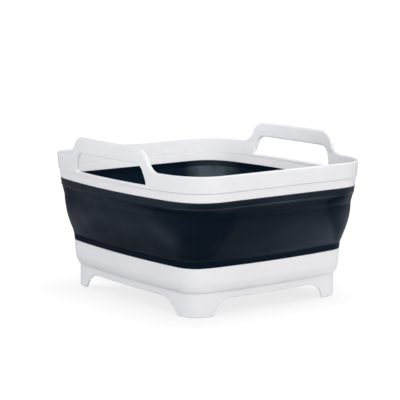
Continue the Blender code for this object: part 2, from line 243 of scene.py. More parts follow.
def smooth(value):
    """An even rise from 0 to 1, kept at 0 before it and at 1 after it."""
    value = np.clip(value, 0, 1)
    return value * value * (3 - 2 * value)


def plan(places, size):
    """X and Y of places round a bowed rounded rectangle, whose corners leave its sides smoothly."""
    face, share, turn = places
    half_x, half_y, corner, bow_x, bow_y = size
    on_side = face % 2 == 0
    depth, breadth = np.where(on_side, half_x, half_y), np.where(on_side, half_y, half_x)
    bow, next_bow = np.where(on_side, bow_x, bow_y), np.where(on_side, bow_y, bow_x)
    run, next_run = breadth - corner, depth - corner
    lean, next_lean = np.arctan2(2 * bow, run), np.arctan2(2 * next_bow, next_run)
    reach = 2 * corner_part * corner / (np.cos(lean) + np.cos(next_lean) - np.sin(lean) - np.sin(next_lean))
    first, second = (1 - turn) ** 3, 3 * turn * (1 - turn) ** 2
    third, fourth = 3 * turn ** 2 * (1 - turn), turn ** 3
    out = (first * depth + second * (depth - reach * np.sin(lean))
           + third * (next_run + reach * np.cos(next_lean)) + fourth * next_run)
    along = (first * run + second * (run + reach * np.cos(lean))
             + third * (breadth - reach * np.sin(next_lean)) + fourth * breadth)
    out = np.where(turn > 0, out, depth + bow * (1 - share ** 2))
    along = np.where(turn > 0, along, run * share)
    return np.choose(face, (out, -along, -out, along)), np.choose(face, (along, out, -along, -out))


def ring(places, size, height):
    """Points round an outline at a height."""
    x, y = plan(places, size)
    return np.stack(np.broadcast_arrays(x, y, height), axis=1)


def stations(side_steps, end_steps, corner_steps):
    """Places round an outline: a face, a share along it, and a turn round the corner that ends it."""
    face, share, turn = [], [], []
    for at in range(4):
        shares = np.linspace(-1, 1, (side_steps, end_steps)[at % 2] + 1)
        face += [at] * (len(shares) + corner_steps - 1)
        share += list(shares) + [1] * (corner_steps - 1)
        turn += [0] * len(shares) + [step / corner_steps for step in range(1, corner_steps)]
    return np.array(face), np.array(share, float), np.array(turn, float)


def quarter(radius, steps):
    """Steps over a rounded edge, from the edge on: how far in, and how far back from the face."""
    turns = [pi / 2 * step / steps for step in range(steps + 1)]
    return [(radius * (1 - cos(turn)), radius * (1 - sin(turn))) for turn in turns]


def arc(centre, radius, start, end, steps):
    """Points along an arc and the directions away from its centre, ends included."""
    turns = np.linspace(start, end, steps + 1)
    away = np.stack((np.cos(turns), np.sin(turns)), axis=1)
    return np.array(centre) + radius * away, away


def mark_wear(mesh):
    """Stores where a mesh is an outer edge and where it is a hollow, for the finishes to use."""
    count = len(mesh.vertices)
    points, facing = np.zeros(count * 3), np.zeros(count * 3)
    mesh.vertices.foreach_get("co", points)
    mesh.vertices.foreach_get("normal", facing)
    points, facing = points.reshape(-1, 3), facing.reshape(-1, 3)
    ends = np.zeros(len(mesh.edges) * 2, int)
    mesh.edges.foreach_get("vertices", ends)
    start, end = ends.reshape(-1, 2).T
    step = points[end] - points[start]
    length = np.maximum(np.linalg.norm(step, axis=1), shortest_edge)
    total, weight = np.zeros(count), np.zeros(count)
    for here, way in ((start, 1), (end, -1)):
        bend = -way * np.einsum("ij,ij->i", facing[here], step) / length
        np.add.at(total, here, bend)
        np.add.at(weight, here, 1)
    bend = total / np.maximum(weight, 1)
    for name, value in (("outer_edge", bend), ("hollow", -bend)):
        layer = mesh.attributes.new(name, "FLOAT", "POINT")
        layer.data.foreach_set("value", np.clip(value * wear_gain, 0, 1).astype(np.float32))


def corner_wedge(x, y, height):
    """One in the folded wedges at the wall's corners, nothing outside them."""
    half_x, half_y = wall_size(height)[:2]
    rise = np.clip((height - fold_bottom) / (waist - fold_bottom), 0, 1)
    side = wedge_foot + (wedge_side - wedge_foot) * rise ** wedge_side_curve
    end = wedge_foot + (wedge_end - wedge_foot) * rise ** wedge_end_curve
    side_fade = wedge_foot_fade + (wedge_side_fade - wedge_foot_fade) * rise
    end_fade = wedge_foot_fade + (wedge_end_fade - wedge_foot_fade) * rise
    on_side = smooth((side - (half_y - np.abs(y))) / side_fade)
    on_end = smooth((end - (half_x - np.abs(x))) / end_fade)
    return on_side * on_end


def painted_light_spot(x, y, z, spot):
    """What one of the spots adds to the rubber's painted shade, or takes off it as painted highlight."""
    middle_x, middle_y, middle_z, half_length, half_height, slant, darker = spot
    off_x, off_y, off_z = x / mm - middle_x, y / mm - middle_y, z / mm - middle_z
    on_end = abs(middle_y) > abs(middle_x)
    along, across = (off_x, off_y) if on_end else (off_y, off_x)
    turn = radians(slant)
    run = (along * cos(turn) + off_z * sin(turn)) / half_length
    rise = (off_z * cos(turn) - along * sin(turn)) / half_height
    return darker * np.exp(-run ** 2 - rise ** 2 - (across / spot_depth) ** 2)


def mark_painted_shade(mesh, outer_count):
    """Stores the rubber's painted shade and painted sheen: its corner wedges, head, foot, spots and inner
    sides.
    """
    points = np.zeros(len(mesh.vertices) * 3)
    mesh.vertices.foreach_get("co", points)
    x, y, z = points.reshape(-1, 3).T
    dark = np.maximum(corner_wedge(x, y, z), head_dark * smooth((z - head_start) / head_fade))
    dark *= smooth((z - fold_bottom) / panel_foot_fade) * smooth((fold_top - z) / panel_top_fade)
    dark = np.maximum(dark, foot_dark * smooth((foot_end - z) / foot_fade))
    dark -= above_ridge_light * smooth((z - fold_top) / above_ridge_fade)
    # Spots of painted highlight and painted shade
    for spot in painted_light_spots:
        dark += painted_light_spot(x, y, z, spot)
    # The inner sides get painted shade, and their corners get painted sheen
    half_x, half_y = wall_size(z)[:2]
    corner = (smooth((sheen_corner_reach - (half_x - np.abs(x))) / sheen_corner_fade)
              * smooth((sheen_corner_reach - (half_y - np.abs(y))) / sheen_corner_fade))
    dark[outer_count:] = (inside_dark - inside_corner_sheen * corner)[outer_count:]
    layer = mesh.attributes.new("painted_shade_and_sheen", "FLOAT", "POINT")
    layer.data.foreach_set("value", dark.astype(np.float32))


def piece_of(name, points, faces, material):
    """A closed piece from points and faces, smoothly shaded, with its wear marked."""
    mesh = bpy.data.meshes.new(name)
    mesh.from_pydata(np.asarray(points).tolist(), [], faces)
    form = bmesh.new()
    form.from_mesh(mesh)
    bmesh.ops.recalc_face_normals(form, faces=form.faces[:])
    form.to_mesh(mesh)
    form.free()
    mesh.shade_smooth()
    mark_wear(mesh)
    mesh.materials.append(material)
    piece = bpy.data.objects.new(name, mesh)
    bpy.context.scene.collection.objects.link(piece)
    even = piece.modifiers.new("even_shading", "WEIGHTED_NORMAL")
    even.keep_sharp = True
    return piece


def swept(name, rings, material):
    """A closed band: rings of points joined each to the next, and the last to the first."""
    count = len(rings[0])
    faces = []
    for low in range(len(rings)):
        high = (low + 1) % len(rings)
        for at in range(count):
            before = (at - 1) % count
            faces.append((low * count + before, low * count + at, high * count + at, high * count + before))
    return piece_of(name, np.concatenate(rings), faces, material)


def collar_size(height):
    """The outer face of the rim's lower band, which leans out as it rises."""
    share = np.clip((height - collar_bottom) / (rim_top - collar_bottom), 0, 1)
    return grown(collar_foot, rim_lean * share)


def wall_share(height):
    """How far the rubber wall has spread from the base's outline to the rim's."""
    panel = 1 - (1 - np.clip((height - fold_bottom) / (waist - fold_bottom), 0, 1)) ** panel_fullness
    return (foot_share * np.clip((height - base_top) / (fold_bottom - base_top), 0, 1)
            + (waist_share - foot_share) * panel
            + (ridge_share - waist_share) * np.clip((height - waist) / (fold_top - waist), 0, 1)
            + (1 - ridge_share) * np.clip((height - fold_top) / (collar_bottom - fold_top), 0, 1))


def bead(height, middle, half_width, rise):
    """How far a rounded bead stands out at a height: its rise at its middle, nothing past its half width."""
    return rise * np.clip(1 - ((height - middle) / half_width) ** 2, 0, 1) ** bead_fullness


def slack(places, height):
    """The small unevenness of folded rubber and its corner ribs, which fade out at its foot and head."""
    x, y = plan(places, wall_size(height))
    around = np.arctan2(y, x)
    past_foot = smooth((height - fold_bottom) / slack_fade)
    before_head = smooth((fold_top + slack_past_ridge - height) / slack_fade)
    rib = np.exp(-((places[2] - 0.5) / corner_rib_width) ** 2)
    waves = sum(part * np.sin(turns * around + climb * height + start)
                for turns, climb, start, part in slack_waves)
    relief = wave_rise * waves + corner_rib_rise * rib - wedge_depth * corner_wedge(x, y, height)
    return past_foot * before_head * relief


def wall_face(height):
    """The rubber wall's face without its beads, its creases softened as thick rubber takes them."""
    share = sum(wall_share(height + shift * crease_softness) * part for shift, part in crease_blend)
    return between(base_outline, collar_foot, share)


def wall_size(height):
    """The rubber wall's outer face, with its beads."""
    return grown(wall_face(height), bead(height, *crease_bead) + bead(height, *ridge_bead))


def wall_inner_size(height):
    """The rubber wall's inner face, one thickness in, measured square to its slope."""
    spread = collar_foot[0] - base_outline[0]
    slope = (wall_share(height + mm) - wall_share(height - mm)) / (2 * mm) * spread
    return grown(wall_face(height), -rubber_thickness * sqrt(1 + slope ** 2))


def wall_heights(bottom, top):
    """Heights of the wall's rings: evenly spaced, and closer together at its creases."""
    heights = set(np.linspace(bottom + wall_ring_margin, top - wall_ring_margin, wall_rings))
    for middle in (fold_bottom, waist, fold_top):
        heights |= {middle + step * crease_ring_gap for step in range(-crease_rings, crease_rings + 1)}
    heights = sorted(heights)
    return [height for at, height in enumerate(heights)
            if at == 0 or height - heights[at - 1] > closest_rings]


def make_rubber_wall(material):
    """The folding wall in one piece: an upright foot, the panel, the waist, the ridge and the head."""
    places = stations(wall_side_steps, wall_end_steps, wall_corner_steps)
    bottom, top = base_top + half_seam, collar_bottom - half_seam
    heights = wall_heights(bottom, top)
    rings = [ring(places, grown(wall_size(bottom), -wall_edge_round), bottom)]
    rings += [ring(places, grown(wall_size(height), slack(places, height)), height) for height in heights]
    rings.append(ring(places, grown(wall_size(top), -wall_edge_round), top))
    outer_count = len(rings) * len(rings[0])
    lip, taper = collar_bottom - lip_below_collar, collar_bottom - taper_below_collar
    flat = grown(collar_foot, -rim_thickness)
    rings.append(ring(places, grown(wall_size(top), -rim_thickness), top))
    for height in reversed(heights):
        inner = wall_inner_size(height)
        if height > taper:
            inner = between(inner, flat, float(smooth((height - taper) / (lip - taper))))
        rings.append(ring(places, grown(inner, slack(places, height)), height))
    rings.append(ring(places, grown(wall_inner_size(bottom), wall_edge_round), bottom))
    wall = swept("rubber_wall", rings, material)
    mark_painted_shade(wall.data, outer_count)
    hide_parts("lower_wall_collar", "fold_panel", "upper_wall_band")
    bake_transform(wall)
    return wall


def make_rim_collar(material):
    """The rim's lower band, with small rounds on its four edges."""
    places = stations(collar_side_steps, collar_end_steps, collar_corner_steps)
    bottom, top = collar_bottom + half_seam, seam_height - half_seam
    edge = quarter(collar_edge_round, fine_round_steps)
    outside = [(bottom + into, back) for into, back in edge]
    outside += [(bottom + (top - bottom) * step / collar_rings, 0) for step in range(1, collar_rings)]
    outside += [(top - into, back) for into, back in reversed(edge)]
    rings = [ring(places, grown(collar_size(height), -back), height) for height, back in outside]
    rings += [ring(places, grown(collar_size(height), back - rim_thickness), height)
              for height, back in reversed(outside)]
    collar = swept("rim_collar_band", rings, material)
    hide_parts("rim_collar")
    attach(collar, "rim")
    return collar


class Pattern:
    """A wall laid out flat: places round an outline, their heights, edge rounding and faces."""

    def __init__(self):
        self.places, self.heights, self.backs, self.faces = [[], [], []], [], [], []

    def row(self, places, heights, backs):
        """Adds a row of points and gives their numbers."""
        start = len(self.heights)
        face, share, turn, height, back = np.broadcast_arrays(*places, heights, backs)
        for kept, new in zip(self.places, (face, share, turn)):
            kept.extend(new.tolist())
        self.heights.extend(height.tolist())
        self.backs.extend(back.tolist())
        return list(range(start, len(self.heights)))

    def join(self, low, high, closed):
        """Faces between two rows of numbers."""
        for at in range(0 if closed else 1, len(low)):
            self.faces.append((low[at - 1], low[at], high[at], high[at - 1]))

    def join_rows(self, rows):
        """Faces between closed rows of numbers, each joined to the next."""
        for first, second in zip(rows, rows[1:]):
            self.join(first, second, True)


def handle_edge():
    """The handle's upper edge from one foot to the other, and the directions out of it."""
    shoulder, up = arc((handle_flat, handle_top - shoulder_radius), shoulder_radius,
                       pi / 2, pi / 2 - meet_angle, arc_steps)
    foot, away = arc((handle_foot, rim_top + foot_radius), foot_radius,
                     pi * 3 / 2 - meet_angle, pi * 3 / 2, arc_steps)
    flat = np.stack((np.linspace(-handle_flat, handle_flat, flat_steps + 1)[1:-1],
                     np.full(flat_steps - 1, handle_top)), axis=1)
    half = np.concatenate((shoulder, foot[1:]))
    out = np.concatenate((up, -away[1:]))
    mirror = np.array((-1, 1))
    points = np.concatenate((half[::-1] * mirror, flat, half))
    outs = np.concatenate((out[::-1] * mirror, np.tile((0.0, 1.0), (len(flat), 1)), out))
    return points, outs


def hole_edge():
    """The hole's edge, anticlockwise from the left of its sill, and the directions away from it."""
    top_centre = np.array((hole_half - hole_top_radius, handle_top - handle_bar_height - hole_top_radius))
    foot_centre = np.array((hole_half + hole_foot_flare - hole_foot_radius, hole_sill + hole_foot_radius))
    step = foot_centre - top_centre
    lean = acos((hole_top_radius - hole_foot_radius) / np.linalg.norm(step)) + atan2(step[1], step[0])
    foot, foot_out = arc(foot_centre, hole_foot_radius, -pi / 2, lean, hole_foot_steps)
    top, top_out = arc(top_centre, hole_top_radius, lean, pi / 2, 2 * arc_steps)
    shares = np.linspace(0, 1, hole_end_steps + 1)[1:-1, None]
    leg = foot[-1] + (top[0] - foot[-1]) * shares
    half = np.concatenate((foot, leg, top))
    out = np.concatenate((foot_out, np.tile(foot_out[-1], (len(leg), 1)), top_out))
    sill_y = np.linspace(-foot_centre[0], foot_centre[0], sill_steps + 1)[:-1]
    sill = np.stack((sill_y, np.full(len(sill_y), hole_sill)), axis=1)
    bar_y = np.linspace(top_centre[0], -top_centre[0], flat_steps + 1)[1:-1]
    bar = np.stack((bar_y, np.full(len(bar_y), handle_top - handle_bar_height)), axis=1)
    mirror = np.array((-1, 1))
    points = np.concatenate((sill, half, bar, half[::-1][:-1] * mirror))
    outs = np.concatenate((np.tile((0.0, -1.0), (len(sill), 1)), out,
                           np.tile((0.0, 1.0), (len(bar), 1)), out[::-1][:-1] * mirror))
    return points, outs, foot_centre[0]


def in_handle(face, share):
    """One on a handle, nothing past its feet, and smooth in between."""
    from_foot = (handle_foot - np.abs(share) * side_run) / (arcs_run - shoulder_radius)
    return np.where(face % 2 == 0, smooth(from_foot), 0)


def rim_layout():
    """The rim's upper and lower edge, the columns that join them, and which of these a hole follows."""
    edge, edge_out = handle_edge()
    sill_half = hole_edge()[2]
    sill_y = np.concatenate((np.linspace(-handle_foot, -sill_half, sill_end_steps + 1)[:-1],
                             np.linspace(-sill_half, sill_half, sill_steps + 1),
                             np.linspace(sill_half, handle_foot, sill_end_steps + 1)[1:]))
    strip = np.linspace(-1, -handle_foot / side_run, strip_steps + 1)
    top, low, columns, windows = [], [], [], []

    def add_columns(face, shares, turns):
        """Columns on a face or round its corner."""
        for share, turn in np.broadcast(shares, turns):
            columns.append((len(top), len(low)))
            top.append((face, share, turn, rim_top, 0, 1))
            low.append((face, share, turn))

    for face in range(4):
        if face % 2:
            add_columns(face, np.linspace(-1, 1, rim_end_steps + 1), 0)
        else:
            add_columns(face, strip, 0)
            windows.append(len(columns) - 1)
            top += [(face, y / side_run, 0, z, out_y, out_z)
                    for (y, z), (out_y, out_z) in zip(edge[1:-1], edge_out[1:-1])]
            low += [(face, y / side_run, 0) for y in sill_y[1:-1]]
            add_columns(face, -strip[::-1], 0)
        add_columns(face, 1, np.arange(1, corner_steps) / corner_steps)
    return np.array(top, float).T, np.array(low, float).T, columns, windows


def rim_edge_rows(pattern, top, low):
    """Rows of points over the rounded upper edge, and over the finer lower one."""
    face, share, turn, height, out_y, out_z = top
    radius = rim_edge_round + (handle_edge_round - rim_edge_round) * in_handle(face, share)
    top_rows = [pattern.row((face, share - out_y * into * radius / side_run, turn),
                            height - out_z * into * radius, back * radius)
                for into, back in quarter(1, round_steps)]
    low_rows = [pattern.row(low, seam_height + half_seam + into, back)
                for into, back in quarter(collar_edge_round, fine_round_steps)]
    for rows in (top_rows, low_rows):
        pattern.join_rows(rows)
    return top_rows, low_rows


def rim_chains(pattern, low, columns, top_row, low_row):
    """A chain of points up each column, from the lower edge to the upper."""
    floor, roof = pattern.heights[low_row[0]], pattern.heights[top_row[0]]
    shares = np.linspace(0, 1, leg_steps + 1)[1:-1]
    chains = []
    for top_at, low_at in columns:
        inner = pattern.row(low[:, low_at], floor + (roof - floor) * shares, 0)
        chains.append([low_row[low_at]] + inner + [top_row[top_at]])
    return chains


def window_rows(pattern, face, outer):
    """Rows of points from a handle hole's rounded edge out to the ring of points round it."""
    points, outs = (np.roll(values, sill_end_steps, axis=0) for values in hole_edge()[:2])
    rise = smooth((points[:, 1] - hole_sill) / hole_round_rise)[:, None]
    bend = sill_edge_round + (hole_edge_round - sill_edge_round) * rise
    rows = []
    for into, back in quarter(1, round_steps):
        moved = points + outs * into * bend
        rows.append(pattern.row((face, moved[:, 0] / side_run, 0), moved[:, 1], back * bend[:, 0]))
    round_it = np.array([(pattern.places[1][at] * side_run, pattern.heights[at]) for at in outer])
    for step in range(1, ring_steps):
        mixed = moved + (round_it - moved) * step / ring_steps
        rows.append(pattern.row((face, mixed[:, 0] / side_run, 0), mixed[:, 1], 0))
    return rows + [outer]


def thickened(pattern, free_edges):
    """The pattern wrapped round the rim, given its thickness, and closed along its free edges."""
    face, share, turn = (np.array(values) for values in pattern.places)
    places = (face.astype(int), share, turn)
    heights, backs = np.array(pattern.heights), np.array(pattern.backs)
    thickness = rim_thickness + (handle_thickness - rim_thickness) * in_handle(face, share)
    size = grown(collar_size(heights), rim_step)
    points = np.concatenate((ring(places, grown(size, -backs), heights),
                             ring(places, grown(size, backs - thickness), heights)))
    count = len(heights)
    faces = pattern.faces + [tuple(at + count for at in quad) for quad in pattern.faces]
    for loop in free_edges:
        faces += [(before, here, here + count, before + count)
                  for before, here in zip([loop[-1]] + loop[:-1], loop)]
    return points, faces


def make_rim_frame(material):
    """The rim's upper band with both handles, all edges rounded."""
    pattern = Pattern()
    top, low, columns, windows = rim_layout()
    top_rows, low_rows = rim_edge_rows(pattern, top, low)
    chains = rim_chains(pattern, low, columns, top_rows[-1], low_rows[-1])
    free_edges = [top_rows[0], low_rows[0]]
    for at, chain in enumerate(chains):
        other = chains[(at + 1) % len(chains)]
        if at not in windows:
            pattern.join(chain, other, False)
            continue
        (top_start, low_start), (top_end, low_end) = columns[at], columns[at + 1]
        sill = low_rows[-1][low_start:low_end + 1]
        crown = top_rows[-1][top_start:top_end + 1]
        outer = sill + other[1:] + crown[::-1][1:] + chain[::-1][1:-1]
        rows = window_rows(pattern, top[0, top_start], outer)
        pattern.join_rows(rows)
        free_edges.append(rows[0])
    points, faces = thickened(pattern, free_edges)
    rim = piece_of("rim_and_handles", points, faces, material)
    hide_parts("rim_frame")
    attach(rim, "rim")
    return rim


def arch_edge(run, arch_run, fullness):
    """A face's lower edge from corner to corner, along and up, and the directions into the wall."""
    flat = run - foot_straight - arch_run
    half = [(flat * step / arch_flat_steps, arch_height) for step in range(arch_flat_steps)]
    for step in range(arch_steps + 1):
        share = sin(pi / 2 * step / arch_steps) ** (2 / fullness)
        half.append((flat + arch_run * share, arch_height * (1 - share ** fullness) ** (1 / fullness)))
    half = [point for point in half if point[1] > foot_corner_top]
    corner_end = flat + arch_run + foot_corner
    corner, _ = arc((corner_end, foot_corner), foot_corner, pi, pi * 3 / 2, foot_corner_steps)
    half += [tuple(point) for point in corner[1:]]
    half += [(corner_end + (run - corner_end) * step / foot_flat_steps, 0)
             for step in range(1, foot_flat_steps + 1)]
    half = np.array(half)
    points = np.concatenate((half[:0:-1] * (-1, 1), half))
    step = np.gradient(points, axis=0)
    inward = np.stack((-step[:, 1], step[:, 0]), axis=1)
    inward /= np.linalg.norm(inward, axis=1)[:, None]
    inward[0] = inward[-1] = (0, 1)
    return points, inward


class SkirtEdge:
    """The skirt's lower edge all round, with its arches and feet, which the tray's rings follow."""

    def __init__(self):
        rows = []
        for face in range(4):
            run = skirt_outline[1 - face % 2] - skirt_outline[2]
            points, inward = arch_edge(run, *arch_forms[face % 2])
            rows += [(face, along / run, 0, up, in_along, in_up, run)
                     for (along, up), (in_along, in_up) in zip(points, inward)]
            rows += [(face, 1, step / corner_steps, 0, 0, 1, run) for step in range(1, corner_steps)]
        face, self.share, self.turn, self.height, self.in_along, self.in_up, self.run = np.array(rows).T
        self.face = face.astype(int)

    def places(self, into):
        """Places that lie a distance into the wall from the edge."""
        return self.face, self.share + self.in_along * into / self.run, self.turn

    def ring(self, into, size):
        """A ring round an outline, a distance into the wall from the edge."""
        return ring(self.places(into), size, self.height + self.in_up * into)


def skirt_rings(edge, places):
    """Up the skirt's outer face, from the arches' rounded edge to the cove under the band."""
    rings = [edge.ring(into, grown(skirt_outline, -back))
             for into, back in quarter(foot_edge_round, foot_round_steps)]
    rings.append(ring(places, skirt_outline, skirt_top - cove_start))
    rings += [ring(places, grown(skirt_outline, out * mm), skirt_top - down * mm) for out, down in cove]
    return rings


def band_rings(places):
    """Up the stepped band, from its rounded foot to the tray's upper edge."""
    rings = []
    for step in range(band_steps + 1):
        inward = 1 - step / band_steps
        up = band_round_height * (1 - inward)
        draft = band_draft * (1 - up / (base_top - skirt_top))
        depth = band_round_depth * (1 - (1 - inward ** band_round_fullness) ** (1 / band_round_fullness))
        rings.append(ring(places, grown(base_outline, -draft - depth), skirt_top + up))
    top, edge = base_top - half_seam, quarter(tray_edge_round, fine_round_steps)
    rings.append(ring(places, grown(base_outline, -tray_edge_round), top - band_upright))
    rings += [ring(places, grown(base_outline, -back), top - into) for into, back in reversed(edge)]
    rings += [ring(places, grown(base_outline, back - wall_of_tray), top - into) for into, back in edge]
    return rings


def bowl_rings(places):
    """Down into the tray and round its fillet, to the floor."""
    foot = grown(base_outline, -(wall_of_tray + tray_draft))
    return [ring(places, grown(foot, -into), floor_top + back)
            for into, back in quarter(floor_fillet, fillet_steps)]


def drain_rings(floor_edge):
    """Across the floor to the drain, down its stepped seat, and up round the boss below."""
    around = np.arctan2(floor_edge[:, 1], floor_edge[:, 0])

    def circle(radius, level):
        """A circle with a point in the direction of each of the floor's."""
        levels = np.full_like(around, level)
        return np.stack((radius * np.cos(around), radius * np.sin(around), levels), axis=1)

    seat, boss_foot = floor_top - seat_depth, floor_bottom - boss_depth
    seat_edge = circle(seat_radius + seat_lip, floor_top)
    rings = [floor_edge + (seat_edge - floor_edge) * part for part in floor_parts]
    profile = ((seat_radius + seat_lip / 3, floor_top - seat_lip / 3), (seat_radius, floor_top - seat_lip),
               (seat_radius, seat), (drain_radius + drain_bevel, seat), (drain_radius, seat - drain_bevel),
               (drain_radius, boss_foot), (boss_radius - drain_bevel, boss_foot),
               (boss_radius, boss_foot + drain_bevel), (boss_radius, floor_bottom - seat_lip),
               (boss_radius + seat_lip, floor_bottom))
    return rings + [circle(radius, level) for radius, level in profile]


def make_base_tray(material):
    """The tray with its drain, the stepped band, and the skirt cut into arches and four feet."""
    edge = SkirtEdge()
    places = edge.places(foot_edge_round)
    rings = skirt_rings(edge, places) + band_rings(places) + bowl_rings(places)
    rings += drain_rings(rings[-1])
    inner_skirt = grown(skirt_outline, -skirt_thickness)
    under = ring(places, grown(inner_skirt, -skirt_fillet), floor_bottom)
    rings += [(rings[-1] + under) / 2, under]
    rings.append(ring(places, inner_skirt, floor_bottom - skirt_fillet))
    rings += [edge.ring(into, grown(inner_skirt, back))
              for into, back in reversed(quarter(foot_edge_round, foot_round_steps))]
    tray = swept("tray_and_feet", rings, material)
    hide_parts("base_tray")
    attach(tray, "base")
    return tray


def plug_profile():
    """The plug from its middle over the flange and down the hollow stem: radii and heights."""
    flange_foot = floor_top - seat_depth + flange_gap
    stem_foot = floor_bottom - boss_depth + stem_rise
    profile = [(pinpoint, plug_top)]
    profile += [(radius * mm, plug_top + rise * mm) for radius, rise in plug_crown]
    profile += [(flange_radius, flange_foot + flange_bevel), (flange_radius - flange_bevel, flange_foot)]
    profile += [(stem_radius + stem_fillet, flange_foot), (stem_radius, flange_foot - stem_fillet)]
    profile += [(stem_radius, stem_foot + stem_chamfer), (stem_radius - stem_belly, stem_foot + stem_belly),
                (stem_radius - stem_chamfer, stem_foot)]
    profile += [(hollow_radius + hollow_bevel, stem_foot), (hollow_radius, stem_foot + hollow_bevel)]
    roof = stem_foot + hollow_depth
    profile += [(hollow_radius, roof - hollow_bevel), (hollow_radius - hollow_bevel, roof), (pinpoint, roof)]
    return profile


def make_drain_plug(material):
    """The rubber plug: a flange with a raised ring, and a hollow stem."""
    profile = plug_profile()
    turns = np.linspace(0, 2 * pi, plug_steps + 1)[:-1]
    points = [(radius * cos(turn), radius * sin(turn), height)
              for radius, height in profile for turn in turns]
    faces = []
    for row in range(len(profile) - 1):
        low, high = row * plug_steps, (row + 1) * plug_steps
        for at in range(plug_steps):
            before = (at - 1) % plug_steps
            faces.append((low + before, low + at, high + at, high + before))
    faces += [tuple(range(plug_steps)), tuple(range(len(points) - plug_steps, len(points)))]
    plug = piece_of("drain_stopper", points, faces, material)
    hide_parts("drain_plug")
    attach(plug, "plug")
    return plug


def in_order(form):
    """A form's points and faces, in an order that is the same in every run."""
    points = sorted(tuple(corner.co) for corner in form.verts)
    number = {point: at for at, point in enumerate(points)}
    faces = []
    for face in form.faces:
        around = [number[tuple(corner.co)] for corner in face.verts]
        if len(around) == 4 and around[2] < around[0]:
            around = around[2:] + around[:2]
        faces.append(around)
    return points, sorted(faces, key=sorted)


def make_pull_tab(material):
    """The tab that lifts the plug, with a round top and soft edges."""
    round_top = tab_height / 2
    side, _ = arc((tab_half - round_top, round_top), round_top, 0, pi / 2, tab_round_steps)
    right = [(tab_half, -tab_sink)] + [tuple(point) for point in side]
    outline = right + [(-x, y) for x, y in reversed(right)]
    form = bmesh.new()
    face = form.faces.new([form.verts.new((x, -tab_thickness / 2, plug_top + y)) for x, y in outline])
    deep = bmesh.ops.extrude_face_region(form, geom=[face])["geom"]
    corners = [corner for corner in deep if isinstance(corner, bmesh.types.BMVert)]
    bmesh.ops.translate(form, verts=corners, vec=(0, tab_thickness, 0))
    bmesh.ops.recalc_face_normals(form, faces=form.faces[:])
    sharp = [edge for edge in form.edges if edge.calc_face_angle(0) > sharp_angle]
    bmesh.ops.bevel(form, geom=sharp, offset=tab_edge_round, segments=tab_bevel_steps, profile=0.5,
                    affect="EDGES")
    points, faces = in_order(form)
    form.free()
    mesh = bpy.data.meshes.new("plug_pull_tab")
    mesh.from_pydata(points, [], faces)
    mesh.shade_smooth()
    mark_wear(mesh)
    mesh.materials.append(material)
    tab = bpy.data.objects.new("plug_pull_tab", mesh)
    bpy.context.scene.collection.objects.link(tab)
    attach(tab, "plug")
    return tab


# Finishes

plastic_deep, plastic_pale = (0.803, 0.803, 0.822, 1), (0.838, 0.838, 0.857, 1)
plastic_dust, plastic_scuff = (0.52, 0.52, 0.53, 1), (0.60, 0.60, 0.61, 1)
rubber_deep, rubber_pale = (0.0016, 0.0052, 0.0112, 1), (0.0030, 0.0076, 0.0148, 1)
rubber_dust, rubber_scuff = (0.10, 0.105, 0.11, 1), (0.06, 0.065, 0.07, 1)
# The first is rubbed wear; the second is the colour of painted shade on the rubber
rubber_rubbed, rubber_painted_shade = (0.035, 0.042, 0.050, 1), (0.0016, 0.0068, 0.0150, 1)
rubber_sheen_tint = (0.62, 0.84, 1.0, 1)
floor_deep, floor_pale = (0.90, 0.90, 0.90, 1), (0.93, 0.93, 0.93, 1)
floor_dim, floor_bright = (0, 0, 0, 1), (0.98, 1.0, 1.18, 1)    # as the basin mirrors it
floor_seen = (0.13, 0.13, 0.13, 1)    # as the camera sees it, before its glow

# How the finishes vary: noise between two values is brought to 0 and 1
cloudy = (0.3, 0.7)
worn_patches, scuffed_places = (0.35, 0.65), (0.52, 0.66)
edge_patchiness, dust_patchiness = 0.6, 0.7
scuff_ways = ((0.6, 14.0), (-0.9, 19.0))    # two sets of streaks: their turn, and how much finer across
scuff_half_width = 0.012
plastic_roughness, rubber_roughness = (0.38, 0.48), (0.42, 0.34)
# The span of the painted shade marks, and the painted sheen they give
painted_shade_span, painted_sheen_span = (-1.6, 1.4), (1.18, 0.04)    # how dark it lies, and its sheen there
sheen_unevenness = (0.88, 1.10)


def new_group(name, inputs, outputs):
    """An empty shader group with named inputs and outputs: (name, kind, value or None)."""
    group = bpy.data.node_groups.new(name, "ShaderNodeTree")
    for socket, kind, value in inputs:
        made = group.interface.new_socket(socket, in_out="INPUT", socket_type=kind)
        if value is not None:
            made.default_value = value
    for socket, kind in outputs:
        group.interface.new_socket(socket, in_out="OUTPUT", socket_type=kind)
    return group, group.nodes.new("NodeGroupInput"), group.nodes.new("NodeGroupOutput")


def node(tree, kind, inputs=None, **settings):
    """A node with its settings, and its inputs set to values or linked from sockets."""
    made = tree.nodes.new(kind)
    for name, value in settings.items():
        setattr(made, name, value)
    for name, value in (inputs or {}).items():
        socket = made.inputs[name]
        if isinstance(value, bpy.types.NodeSocket):
            tree.links.new(value, socket)
        else:
            socket.default_value = value
    return made


def maths(tree, operation, first, second=0.0, third=0.0):
    """What a calculation with up to three values comes to."""
    made = node(tree, "ShaderNodeMath", {0: first, 1: second, 2: third}, operation=operation)
    return made.outputs[0]


def vector_maths(tree, operation, first, second=(0, 0, 0)):
    """What a calculation with vectors comes to: a vector, a length or a distance."""
    made = node(tree, "ShaderNodeVectorMath", {0: first, 1: second}, operation=operation)
    return made.outputs["Value" if operation in ("LENGTH", "DISTANCE") else "Vector"]


def span(tree, value, low, high, new_low=0.0, new_high=1.0):
    """A value brought from one span to another, and kept inside it."""
    made = node(tree, "ShaderNodeMapRange", {"Value": value, "From Min": low, "From Max": high,
                                             "To Min": new_low, "To Max": new_high})
    return made.outputs[0]


def noise(tree, place, scale, detail=3.0, roughness=0.5, distortion=0.0):
    """A cloudy value between 0 and 1 that changes from place to place."""
    made = node(tree, "ShaderNodeTexNoise", {"Vector": place, "Scale": scale, "Detail": detail,
                                             "Roughness": roughness, "Distortion": distortion})
    return made.outputs["Fac"]


